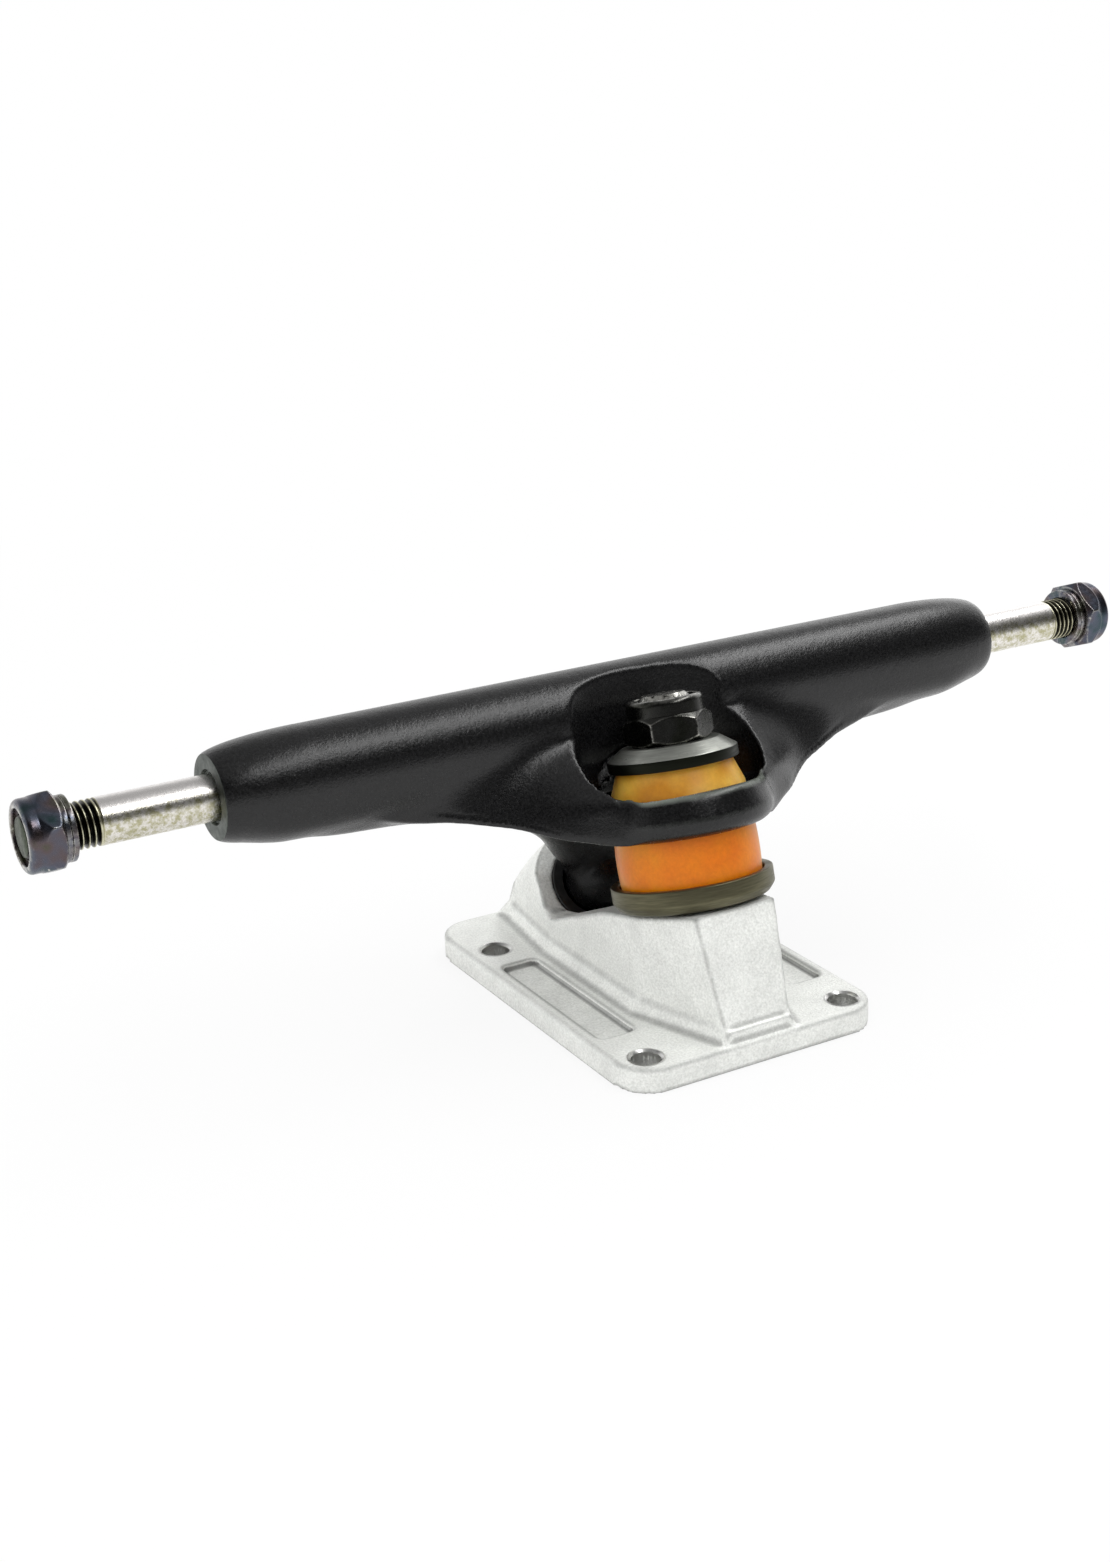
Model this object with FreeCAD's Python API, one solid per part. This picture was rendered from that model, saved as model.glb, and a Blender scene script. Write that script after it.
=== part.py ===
import FreeCAD, Part
import math
import os

# Skateboard truck, standing on its mounting face. Lengths are in millimetres and angles in degrees.
# X runs along the wheel axle, Z up from the deck face, and Y from the kingpin side to the pivot side.
# The origin is the middle of the four deck bolts, on the deck face.

Vector = FreeCAD.Vector
X_AXIS = Vector(1, 0, 0)
Y_AXIS = Vector(0, 1, 0)
Z_AXIS = Vector(0, 0, 1)

# Mounting plate
bolt_spacing_x = 41.275
bolt_spacing_y = 53.975
bolt_hole_diameter = 5.3
bolt_hole_chamfer = 0.45
plate_width = 52.0
plate_thickness = 4.6
plate_front_margin = 5.3
plate_back_margin = 16.2
plate_corner_radius = 7.0
plate_edge_radius = 0.6

# Shallow pockets in the plate beside the boss
panel_length = 36.5
panel_width = 7.4
panel_depth = 1.1
panel_edge_margin = 2.3
panel_corner_radius = 1.6
panel_middle_y = 1.2

# Kingpin and its leaning axis
kingpin_lean = 15.0
kingpin_foot_y = -17.3
kingpin_diameter = 9.525
kingpin_head_width = 14.29
kingpin_head_height = 6.0
kingpin_head_start = 2.7
kingpin_head_chamfer = 0.7
kingpin_head_chamfer_width = 1.4
kingpin_thread_length = 15.0
kingpin_tip_beyond_nut = 0.6
kingpin_tip_chamfer = 0.8
kingpin_bore_clearance = 0.06
head_pocket_clearance = 0.15

# Boss that carries the kingpin
seat_height = 23.4
seat_front_reach = 12.9
seat_back_reach = 13.7
boss_front_half_width = 6.6
boss_shoulder_half_width = 12.4
boss_shoulder_back = 6.2
boss_waist_y = 3.8
boss_cheek_y = 20.0
boss_tail_half_width = 10.2
boss_tail_length = 5.3
boss_front_margin = 1.0
boss_block_height = 31.6
boss_side_draft = 0.9
boss_foot_spread = 1.7
boss_foot_height = 2.2
saddle_height = 11.2
saddle_front_y = 19.7

# Pivot socket in its tower
pivot_mouth_y = 24.9
pivot_mouth_z = 14.3
steering_angle = 38.0
socket_mouth_radius = 8.4
tower_radius = 11.8
tower_back_height = 22.4
tower_back_reach = 8.9

# Pivot cup and the round nose that turns in it
nose_radius = 4.9
nose_depth = 4.5
nose_clearance = 0.05
nose_throat_share = 0.94
neck_radius = 5.9
neck_length = 5.0
cup_wall = 1.3
cup_lip_height = 0.6
cup_mouth_gap = 0.6

# Bushings and their cup washers, from the seat upwards
washer_thickness = 1.5
lower_washer_radius = 14.5
lower_washer_flat_radius = 10.6
lower_washer_height = 5.0
lower_washer_bend_share = 0.72
lower_washer_bend_rise_share = 0.14
lower_washer_wall_share = 0.42
lower_bushing_height = 14.2
lower_bushing_radius = 12.3
lower_bushing_belly = 0.45
upper_bushing_height = 8.8
upper_bushing_base_radius = 12.0
upper_bushing_base_height = 1.8
upper_bushing_waist_radius = 10.35
upper_bushing_top_radius = 10.1
upper_washer_radius = 11.6
upper_washer_flat_radius = 8.7
upper_washer_skirt = 2.4
upper_washer_bevel = 2.0
bushing_bore_clearance = 0.2
bushing_seat_clearance = 0.3
bushing_edge_radius = 0.6

# Hanger: yoke ring round the kingpin
web_thickness = 3.0
ring_bore_radius = 7.2
ring_lip_radius = 12.7
ring_rim_above_seat = 2.4
ring_skirt_below_seat = 2.4
ring_top_radius = 15.4
ring_bottom_radius = 17.4
ring_rim_radius = 0.9
ring_foot_radius = 3.2

# Steering: how far the hanger turns each way, and the room that its pocket keeps round the washer
steering_range = 18.0
swing_steps = 3
swing_gap = 0.35

# Hanger: beam round the axle
hanger_width = 159.0
axle_y = 11.6
axle_z = 52.4
beam_radius = 9.2
beam_end_radius = 7.6
beam_taper_length = 17.5
beam_taper_start_share = 0.5
beam_taper_end_share = 0.85
beam_taper_drop_share = 0.4
beam_face_chamfer = 0.6
face_counterbore_radius = 5.1
face_counterbore_depth = 0.7

# Hanger: web from the beam down to the pivot, and the wings that join the ring to the beam
web_lean = 25.6
web_depth = 9.6
web_forward_offset = 2.8
web_drop = 36.6
web_edge_radius = 4.2
wing_reach = 56.0
wing_corner_cut = 1.8
wing_corner_share = 0.45

# Lower edge of the web: share of the hanger's half width, and share of the web's drop
web_edge_shares = (
    (0.83, 0.20), (0.755, 0.243), (0.63, 0.268), (0.53, 0.30), (0.43, 0.36), (0.35, 0.424),
    (0.28, 0.508), (0.238, 0.568), (0.18, 0.683), (0.117, 0.87), (0.09, 0.943), (0.083, 1),
)

# Upper and lower front edges of the wings: share of their reach along X, and then how far in front
# of and below the axle, in shares of the beam's radius
wing_top_shares = (
    (0.11, 3.00, 0.80), (0.22, 2.73, 0.80), (0.29, 2.49, 0.85), (0.36, 2.20, 0.92),
    (0.43, 1.87, 1.01), (0.50, 1.54, 1.03), (0.57, 1.32, 1.00), (0.64, 1.18, 0.92),
    (0.71, 1.02, 0.84), (0.79, 0.87, 0.74), (0.86, 0.76, 0.64), (1, 0.45, 0.48),
)
wing_foot_shares = (
    (0.11, 3.11, 1.35), (0.22, 3.11, 1.53), (0.29, 2.71, 1.68), (0.36, 2.40, 1.62),
    (0.43, 2.08, 1.51), (0.50, 1.70, 1.35), (0.57, 1.45, 1.24), (0.64, 1.29, 1.16),
    (0.71, 1.10, 1.10), (0.79, 0.88, 1.07), (0.86, 0.80, 0.99), (1, 0.34, 0.85),
)
wing_root_share = 0.8
wing_root_rise_share = 0.15
wing_heel_rise_share = 0.12

# Pocket in the beam that frees the kingpin nut: its outline in shares of its half width and of its
# depth behind or in front of the kingpin
pocket_half_width = 17.3
pocket_back_wall = 1.2
pocket_front_depth = 12.0
pocket_floor_above_seat = 0.9
pocket_back_shares = ((0, 1), (0.5, 0.92), (0.82, 0.70), (1, 0.30))
pocket_front_shares = ((1, 0.10), (0.86, 0.42), (0.61, 0.69), (0.32, 0.90), (0, 1))

# Axle
axle_length = 222.25
axle_diameter = 7.94
axle_thread_length = 12.4
axle_tip_chamfer = 0.7
axle_grip_height = 0.2
thread_pitch = 1.058
thread_depth = 0.62
thread_flat_share = 0.125
thread_crest_drop = 0.155

# Nuts with their nylon rings, and the speed washers
axle_nut_width = 12.5
axle_nut_height = 6.0
axle_nut_beyond_tip = 0.275
kingpin_nut_width = 14.0
kingpin_nut_height = 7.9
kingpin_nut_turn = 38.0
left_nut_turn = -7.0
right_nut_turn = 10.0
nut_hex_share = 0.63
nut_chamfer_height = 0.9
nut_face_inset = 0.35
nut_collar_share = 0.93
nut_collar_round = 1.0
nut_collar_lip = 0.8
nut_thread_clearance = 0.04
insert_height = 1.9
insert_wall = 1.3
insert_shelf = 0.4
insert_clearance = 0.04
speed_washer_thickness = 0.95
speed_washer_radius = 5.5
speed_washer_bore_clearance = 0.12
washer_gap = 0.03

# One overrun serves every cut
overrun = 60.0

# Sizes that follow from the ones above
plate_front = -bolt_spacing_y / 2 - plate_front_margin
plate_back = bolt_spacing_y / 2 + plate_back_margin
kingpin_radius = kingpin_diameter / 2
axle_radius = axle_diameter / 2
axle_grip_radius = axle_radius + axle_grip_height
half_hanger = hanger_width / 2
half_axle = axle_length / 2
bushing_bore = kingpin_radius + bushing_bore_clearance

lower_bushing_start = seat_height + washer_thickness
web_bottom = lower_bushing_start + lower_bushing_height
web_top = web_bottom + web_thickness
ring_bottom = web_bottom - ring_skirt_below_seat
ring_top = web_top + ring_rim_above_seat
upper_bushing_end = web_top + upper_bushing_height
upper_washer_top = upper_bushing_end + washer_thickness
kingpin_nut_start = upper_washer_top + washer_gap
kingpin_tip = kingpin_nut_start + kingpin_nut_height + kingpin_tip_beyond_nut
head_top = kingpin_head_start + kingpin_head_height
axle_nut_start = half_axle + axle_nut_beyond_tip - axle_nut_height

kingpin_frame = FreeCAD.Placement(
    Vector(0, kingpin_foot_y, 0), FreeCAD.Rotation(X_AXIS, -kingpin_lean)
)
mouth_frame = FreeCAD.Placement(
    Vector(0, pivot_mouth_y, pivot_mouth_z), FreeCAD.Rotation(X_AXIS, 90 - steering_angle)
)
right_axle_frame = FreeCAD.Placement(Vector(0, axle_y, axle_z), FreeCAD.Rotation(Y_AXIS, 90))
left_axle_frame = FreeCAD.Placement(Vector(0, axle_y, axle_z), FreeCAD.Rotation(Y_AXIS, -90))
web_frame = FreeCAD.Placement(Vector(0, axle_y, axle_z), FreeCAD.Rotation(X_AXIS, web_lean))
axle_in_kingpin_frame = kingpin_frame.inverse().multVec(Vector(0, axle_y, axle_z))


# Helpers

def placed(shape, frame):
    moved = shape.copy()
    moved.Placement = frame.multiply(moved.Placement)
    return moved


def face_of(points):
    return Part.Face(Part.makePolygon(points + points[:1]))


def turned(outline):
    """Solid of revolution about Z from (radius, height) corners."""
    return face_of([Vector(r, 0, h) for r, h in outline]).revolve(Vector(), Z_AXIS, 360)


def turned_wire(edges):
    """Solid of revolution about Z from a closed chain of edges in the XZ plane."""
    return Part.Face(Part.Wire(edges)).revolve(Vector(), Z_AXIS, 360)


def cylinder(radius, start, end):
    return Part.makeCylinder(radius, end - start, Vector(0, 0, start))


def hexagon(width, start, end, turn):
    corner = width / math.sqrt(3)
    angles = [math.radians(60 * i + turn) for i in range(6)]
    outline = face_of([Vector(corner * math.cos(a), corner * math.sin(a), start) for a in angles])
    return outline.extrude(Vector(0, 0, end - start))


def mirrored(points):
    """The points and their mirror images across the YZ plane, in order round the outline."""
    return points + [Vector(-p.x, p.y, p.z) for p in reversed(points) if abs(p.x) > 0]


def line(a, b):
    return Part.LineSegment(a, b).toShape()


def arc(a, middle, b):
    return Part.Arc(a, middle, b).toShape()


def bezier(*poles):
    curve = Part.BezierCurve()
    curve.setPoles(list(poles))
    return curve.toShape()


def spline(points, closed=False):
    curve = Part.BSplineCurve()
    curve.interpolate(points, PeriodicFlag=closed)
    return curve.toShape()


def threaded_rod(radius, start, thread_start, end, chamfer):
    """Round rod whose far stretch carries grooves of the thread's pitch and depth."""
    flat = thread_pitch * thread_flat_share
    groove = thread_pitch - flat
    root = radius - thread_depth
    crest = radius - thread_crest_drop
    outline = [(0, start), (radius, start), (radius, thread_start), (crest, thread_start)]
    for turn in range(int((end - chamfer - thread_start) / thread_pitch)):
        base = thread_start + turn * thread_pitch
        outline.append((root, base + (groove - flat) / 2))
        outline.append((root, base + (groove + flat) / 2))
        outline.append((crest, base + groove))
        outline.append((crest, base + thread_pitch))
    outline += [(crest, end - chamfer), (crest - chamfer, end), (0, end)]
    return turned(outline)


# Mounting plate, boss and pivot tower

def rounded_slab(width, front, back, bottom, top, corner):
    slab = Part.makeBox(width, back - front, top - bottom, Vector(-width / 2, front, bottom))
    upright = [e for e in slab.Edges if e.BoundBox.ZLength > (top - bottom) / 2]
    return slab.makeFillet(corner, upright)


def plate():
    slab = rounded_slab(plate_width, plate_front, plate_back, 0, plate_thickness, plate_corner_radius)
    rim = [e for e in slab.Edges if e.BoundBox.ZMin > plate_thickness / 2]
    return slab.makeFillet(plate_edge_radius, rim)


def boss_plan(height, inset):
    """Outline of the boss seen from above, narrowest at the front ridge."""
    shoulder = boss_shoulder_half_width - inset
    tail = boss_tail_half_width - inset
    right_side = [
        Vector(boss_front_half_width - inset / 2, plate_front + boss_front_margin, height),
        Vector(shoulder, kingpin_foot_y + boss_shoulder_back, height),
        Vector(shoulder, boss_waist_y, height),
        Vector(shoulder, boss_cheek_y, height),
        Vector(tail, plate_back - boss_tail_length, height),
        Vector(tail, plate_back - plate_edge_radius, height),
    ]
    return Part.makePolygon(mirrored(right_side) + right_side[:1])


def seat_point(reach):
    """Point of the seat plane in the middle of the boss, so far along it from the kingpin."""
    return kingpin_frame.multVec(Vector(0, reach, seat_height))


def mouth_point(up):
    """Point of the socket's mouth plane, so far up it from the pivot axis."""
    return mouth_frame.multVec(Vector(0, up, 0))


def boss():
    block = Part.makeLoft([boss_plan(0, 0), boss_plan(boss_block_height, boss_side_draft)], True, True)
    rim_foot = mouth_point((saddle_height - pivot_mouth_z) / math.cos(math.radians(steering_angle)))
    profile = [
        Vector(0, plate_front + boss_front_margin, 0),
        Vector(0, plate_front + boss_front_margin, plate_thickness),
        seat_point(-seat_front_reach),
        seat_point(seat_back_reach),
        Vector(0, saddle_front_y, saddle_height),
        rim_foot,
        Vector(0, plate_back - plate_edge_radius, saddle_height),
        Vector(0, plate_back - plate_edge_radius, 0),
    ]
    prism = face_of([p - X_AXIS * plate_width for p in profile]).extrude(X_AXIS * plate_width * 2)
    foot_top = plate_thickness + boss_foot_height
    foot = Part.makeLoft([boss_plan(plate_thickness, -boss_foot_spread), boss_plan(foot_top, 0)], True, True)
    tower = placed(cylinder(tower_radius, -overrun, 0), mouth_frame)
    body = tower.common(block).fuse(block.common(prism)).fuse(foot.common(plate_column()))
    slope = [
        Vector(-overrun, plate_back - plate_edge_radius, plate_thickness),
        Vector(-overrun, plate_back - tower_back_reach, tower_back_height),
        Vector(-overrun, plate_back - tower_back_reach, tower_back_height + overrun),
        Vector(-overrun, plate_back + overrun, tower_back_height + overrun),
        Vector(-overrun, plate_back + overrun, plate_thickness),
    ]
    return body.cut(face_of(slope).extrude(X_AXIS * overrun * 2)).removeSplitter()


def plate_column():
    """Space straight above the plate, inside its rounded rim."""
    return rounded_slab(
        plate_width - plate_edge_radius * 2,
        plate_front + plate_edge_radius,
        plate_back - plate_edge_radius,
        0,
        overrun,
        plate_corner_radius - plate_edge_radius,
    )


def socket():
    """Tapered round-ended hollow, measured inward from the mouth."""
    end_radius = nose_radius + cup_wall
    centre = -nose_depth
    touch = math.asin((socket_mouth_radius - end_radius) / nose_depth)
    middle_angle = (math.pi / 2 + touch) / 2
    low_side = Vector(end_radius * math.cos(touch), 0, centre - end_radius * math.sin(touch))
    middle = Vector(end_radius * math.cos(middle_angle), 0, centre - end_radius * math.sin(middle_angle))
    tip = Vector(0, 0, centre - end_radius)
    mouth_edge = Vector(socket_mouth_radius, 0, 0)
    return turned_wire([
        line(Vector(), mouth_edge),
        line(mouth_edge, low_side),
        arc(low_side, middle, tip),
        line(tip, Vector()),
    ])


def bolt_hole(centre):
    hole = Part.makeCylinder(bolt_hole_diameter / 2, plate_thickness, centre)
    rim = Part.makeCone(
        bolt_hole_diameter / 2,
        bolt_hole_diameter / 2 + bolt_hole_chamfer,
        bolt_hole_chamfer,
        centre + Z_AXIS * (plate_thickness - bolt_hole_chamfer),
    )
    return hole.fuse(rim)


def side_panel(side):
    pocket = rounded_slab(
        panel_width,
        panel_middle_y - panel_length / 2,
        panel_middle_y + panel_length / 2,
        plate_thickness - panel_depth,
        plate_thickness + panel_depth,
        panel_corner_radius,
    )
    pocket.translate(X_AXIS * side * (plate_width / 2 - panel_edge_margin - panel_width / 2))
    return pocket


def baseplate():
    body = plate().fuse(boss()).removeSplitter()
    body = body.cut(placed(cylinder(socket_mouth_radius, 0, overrun), mouth_frame))
    body = body.cut(placed(socket(), mouth_frame))
    bore = cylinder(kingpin_radius + kingpin_bore_clearance, -overrun, overrun)
    body = body.cut(placed(bore, kingpin_frame))
    pocket = hexagon(kingpin_head_width + head_pocket_clearance * 2, -overrun, head_top, 30)
    body = body.cut(placed(pocket, kingpin_frame))
    for side_x in (-1, 1):
        body = body.cut(side_panel(side_x))
        for side_y in (-1, 1):
            centre = Vector(side_x * bolt_spacing_x / 2, side_y * bolt_spacing_y / 2, 0)
            body = body.cut(bolt_hole(centre))
    return body.removeSplitter()


def pivot_cup():
    ball_room = nose_radius + nose_clearance
    lip = cylinder(socket_mouth_radius, 0, cup_lip_height)
    ball = Part.makeSphere(ball_room, Vector(0, 0, -nose_depth))
    mouth = turned([
        (0, -nose_depth),
        (ball_room, -nose_depth),
        (neck_radius + cup_mouth_gap, 0),
        (neck_radius + cup_mouth_gap, cup_lip_height),
        (0, cup_lip_height),
    ])
    return placed(socket().fuse(lip).cut(ball).cut(mouth).removeSplitter(), mouth_frame)


# Kingpin, bushings and cup washers, modelled upright and then leaned over

def kingpin():
    corner = kingpin_head_width / math.sqrt(3)
    cap = turned([
        (0, kingpin_head_start),
        (corner - kingpin_head_chamfer_width, kingpin_head_start),
        (corner, kingpin_head_start + kingpin_head_chamfer),
        (corner, head_top),
        (0, head_top),
    ])
    head = hexagon(kingpin_head_width, kingpin_head_start, head_top, 30).common(cap)
    shank = threaded_rod(
        kingpin_radius, head_top, kingpin_tip - kingpin_thread_length, kingpin_tip, kingpin_tip_chamfer
    )
    return placed(head.fuse(shank), kingpin_frame)


def lower_cup_washer():
    start = seat_height
    top = start + lower_washer_height
    bend = lower_washer_radius - lower_washer_flat_radius
    wall_foot = start + lower_washer_height * lower_washer_wall_share
    inner = lower_washer_radius - washer_thickness
    outline = [
        (bushing_bore, start),
        (lower_washer_flat_radius, start),
        (
            lower_washer_flat_radius + bend * lower_washer_bend_share,
            start + lower_washer_height * lower_washer_bend_rise_share,
        ),
        (lower_washer_radius, wall_foot),
        (lower_washer_radius, top),
        (inner, top),
        (inner, wall_foot + washer_thickness / 2),
        (lower_bushing_radius + bushing_seat_clearance / 2, start + washer_thickness),
        (bushing_bore, start + washer_thickness),
    ]
    return placed(turned(outline), kingpin_frame)


def lower_bushing():
    """Barrel whose side bulges a little under load."""
    middle = (lower_bushing_start + web_bottom) / 2
    inner_foot = Vector(bushing_bore, 0, lower_bushing_start)
    inner_top = Vector(bushing_bore, 0, web_bottom)
    outer_foot = Vector(lower_bushing_radius, 0, lower_bushing_start)
    outer_top = Vector(lower_bushing_radius, 0, web_bottom)
    belly = Vector(lower_bushing_radius + lower_bushing_belly, 0, middle)
    body = turned_wire([
        line(inner_foot, outer_foot),
        arc(outer_foot, belly, outer_top),
        line(outer_top, inner_top),
        line(inner_top, inner_foot),
    ])
    return placed(body, kingpin_frame)


def upper_bushing():
    """Cone that narrows into the upper cup washer."""
    outline = [
        (bushing_bore, web_top),
        (upper_bushing_base_radius - bushing_edge_radius, web_top),
        (upper_bushing_base_radius, web_top + bushing_edge_radius),
        (upper_bushing_base_radius, web_top + upper_bushing_base_height),
        (upper_bushing_waist_radius, upper_bushing_end - upper_washer_skirt - bushing_seat_clearance),
        (upper_bushing_top_radius, upper_bushing_end),
        (bushing_bore, upper_bushing_end),
    ]
    return placed(turned(outline), kingpin_frame)


def upper_cup_washer():
    inner = upper_bushing_top_radius + bushing_seat_clearance
    skirt_end = upper_bushing_end - upper_washer_skirt
    outline = [
        (bushing_bore, upper_bushing_end),
        (inner, upper_bushing_end),
        (upper_bushing_waist_radius + bushing_seat_clearance, skirt_end),
        (upper_washer_radius, skirt_end),
        (upper_washer_radius, upper_washer_top - upper_washer_bevel),
        (upper_washer_flat_radius, upper_washer_top),
        (bushing_bore, upper_washer_top),
    ]
    return placed(turned(outline), kingpin_frame)


# Nuts, their nylon rings and the speed washers, each along its own upright axis

def nut(width, height, thread_radius, start, turn):
    """Hexagon with chamfered ends and a round collar that holds the nylon ring."""
    corner = width / math.sqrt(3)
    face_radius = width / 2 - nut_face_inset
    hex_end = start + height * nut_hex_share
    end = start + height
    hex_part = hexagon(width, start, hex_end, turn).common(turned([
        (0, start),
        (face_radius, start),
        (corner, start + nut_chamfer_height),
        (corner, hex_end - nut_chamfer_height),
        (face_radius, hex_end),
        (0, hex_end),
    ]))
    collar = cylinder(width / 2 * nut_collar_share, start, end)
    rim = [e for e in collar.Edges if e.BoundBox.ZMin > hex_end]
    bore = thread_radius - thread_crest_drop + nut_thread_clearance
    seat = end - nut_collar_lip
    room = cylinder(bore + insert_wall, seat - insert_height, seat)
    mouth = cylinder(bore + insert_wall - insert_shelf, seat, end + overrun)
    body = hex_part.fuse(collar.makeFillet(nut_collar_round, rim))
    body = body.cut(cylinder(bore, start - overrun, end + overrun))
    return body.cut(room).cut(mouth).removeSplitter()


def insert(height, thread_radius, start):
    """Nylon ring, with the clearance in which the nut turns round it."""
    end = start + height - nut_collar_lip
    bore = thread_radius - thread_crest_drop + nut_thread_clearance
    outer = bore + insert_wall - insert_clearance
    ring = cylinder(outer, end - insert_height + insert_clearance, end - insert_clearance)
    return ring.cut(cylinder(bore, start, end))


def kingpin_nut():
    body = nut(kingpin_nut_width, kingpin_nut_height, kingpin_radius, kingpin_nut_start, kingpin_nut_turn)
    return placed(body, kingpin_frame)


def kingpin_nut_insert():
    return placed(insert(kingpin_nut_height, kingpin_radius, kingpin_nut_start), kingpin_frame)


def axle_nut(frame, turn):
    return placed(nut(axle_nut_width, axle_nut_height, axle_radius, axle_nut_start, turn), frame)


def axle_nut_insert(frame):
    return placed(insert(axle_nut_height, axle_radius, axle_nut_start), frame)


def speed_washer(place, frame):
    """Washer number place, counted inward from the nut."""
    end = axle_nut_start - washer_gap - place * (speed_washer_thickness + washer_gap)
    disc = cylinder(speed_washer_radius, end - speed_washer_thickness, end)
    hole = cylinder(axle_radius + speed_washer_bore_clearance, end - overrun, end + overrun)
    return placed(disc.cut(hole), frame)


# Axle: one rod through the hanger, a little thicker where the casting grips it, threaded at both ends

def axle():
    thread_start = half_axle - axle_thread_length
    half = threaded_rod(axle_radius, 0, thread_start, half_axle, axle_tip_chamfer)
    half = half.fuse(cylinder(axle_grip_radius, 0, half_hanger - face_counterbore_depth))
    return placed(half, left_axle_frame).fuse(placed(half, right_axle_frame)).removeSplitter()


# Hanger: a round beam, a leaning web, two wings, the ring and the pivot nose, joined in one casting

def beam():
    """Round beam whose ends taper gently to the small end faces."""
    start = half_hanger - beam_taper_length
    taper = half_hanger - beam_face_chamfer - start
    drop = (beam_radius - beam_end_radius) * beam_taper_drop_share
    foot = Vector(beam_radius, 0, start)
    edge_start = Vector(beam_end_radius, 0, half_hanger - beam_face_chamfer)
    edge_end = Vector(beam_end_radius - beam_face_chamfer, 0, half_hanger)
    half = turned_wire([
        line(Vector(), Vector(beam_radius, 0, 0)),
        line(Vector(beam_radius, 0, 0), foot),
        bezier(
            foot,
            Vector(beam_radius, 0, start + taper * beam_taper_start_share),
            Vector(beam_radius - drop, 0, start + taper * beam_taper_end_share),
            edge_start,
        ),
        line(edge_start, edge_end),
        line(edge_end, Vector(0, 0, half_hanger)),
        line(Vector(0, 0, half_hanger), Vector()),
    ])
    return placed(half, left_axle_frame).fuse(placed(half, right_axle_frame))


def web():
    """Slab that leans back and narrows to the pivot, with rounded lower edges."""
    back = -web_forward_offset + web_depth / 2
    right = [Vector(x * half_hanger, back, -drop * web_drop) for x, drop in web_edge_shares]
    left = [Vector(-p.x, p.y, p.z) for p in reversed(right)]
    top_right = Vector(right[0].x, back, 0)
    top_left = Vector(-right[0].x, back, 0)
    outline = Part.Wire([
        line(top_right, right[0]),
        spline(right),
        line(right[-1], left[0]),
        spline(left),
        line(left[-1], top_left),
        line(top_left, top_right),
    ])
    slab = Part.Face(outline).extrude(Vector(0, -web_depth, 0))
    lower = [e for e in slab.Edges if e.BoundBox.ZMax < -beam_radius / 2 and e.Length > web_depth]
    slab = placed(slab.makeFillet(web_edge_radius, lower), web_frame)
    below_mouth = cylinder(overrun, -overrun, cup_lip_height + bushing_seat_clearance)
    return slab.cut(placed(below_mouth, mouth_frame))


def web_middle_y(height):
    """Y of the web's middle plane at a height above the deck face."""
    lean = math.radians(web_lean)
    return axle_y - web_forward_offset / math.cos(lean) + (axle_z - height) * math.tan(lean)


def rounded_corner(before, corner, after):
    """Curve that cuts a corner, with its two ends on the lines to the corner's neighbours."""
    ends = []
    for other in (before, after):
        reach = min(wing_corner_cut, (other - corner).Length * wing_corner_share)
        ends.append(corner + (other - corner).normalize() * reach)
    return ends[0], bezier(ends[0], corner, ends[1]), ends[1]


def wing_section(side, top, foot):
    """Rounded corners at the wing's front, and square ones inside the beam and the web."""
    x = side * top[0] * wing_reach
    upper = Vector(x, axle_y - top[1] * beam_radius, axle_z - top[2] * beam_radius)
    lower = Vector(x, axle_y - foot[1] * beam_radius, axle_z - foot[2] * beam_radius)
    heel_z = lower.z + wing_heel_rise_share * beam_radius
    heel = Vector(x, web_middle_y(heel_z), heel_z)
    root = Vector(x, axle_y - wing_root_share * beam_radius, axle_z + wing_root_rise_share * beam_radius)
    upper_start, upper_curve, upper_end = rounded_corner(root, upper, lower)
    lower_start, lower_curve, lower_end = rounded_corner(upper, lower, heel)
    return Part.Wire([
        line(root, upper_start),
        upper_curve,
        line(upper_end, lower_start),
        lower_curve,
        line(lower_end, heel),
        line(heel, root),
    ])


def wing(side):
    sections = [wing_section(side, top, foot) for top, foot in zip(wing_top_shares, wing_foot_shares)]
    return Part.makeLoft(sections, True, False)


def yoke_ring():
    """Cone with rounded rims, before its hollows are cut."""
    height = ring_top - ring_bottom
    cone = Part.makeCone(ring_bottom_radius, ring_top_radius, height, Vector(0, 0, ring_bottom))
    middle = (ring_top + ring_bottom) / 2
    rim = [e for e in cone.Edges if e.BoundBox.ZMin > middle]
    cone = cone.makeFillet(ring_rim_radius, rim)
    foot = [e for e in cone.Edges if e.BoundBox.ZMax < middle]
    return placed(cone.makeFillet(ring_foot_radius, foot), kingpin_frame)


def pivot_nose():
    throat = nose_radius * nose_throat_share
    throat_height = -nose_depth + math.sqrt(nose_radius ** 2 - throat ** 2)
    ball = Part.makeSphere(nose_radius, Vector(0, 0, -nose_depth))
    neck = turned([
        (0, -nose_depth),
        (throat, throat_height),
        (neck_radius, cup_lip_height),
        (neck_radius, neck_length),
        (0, neck_length),
    ])
    knee = Part.makeSphere(neck_radius, Vector(0, 0, neck_length))
    return placed(ball.fuse(neck).fuse(knee), mouth_frame)


def nut_pocket():
    """Room round the kingpin nut, open along the kingpin so that the nut lifts out."""
    wall = axle_in_kingpin_frame.y - axle_radius - pocket_back_wall
    floor = web_top + pocket_floor_above_seat
    back = [Vector(x * pocket_half_width, y * wall, floor) for x, y in pocket_back_shares]
    front = [Vector(x * pocket_half_width, -y * pocket_front_depth, floor) for x, y in pocket_front_shares]
    outline = Part.Wire([spline(mirrored(back + front), closed=True)])
    return placed(Part.Face(outline).extrude(Z_AXIS * overrun), kingpin_frame)


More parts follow.
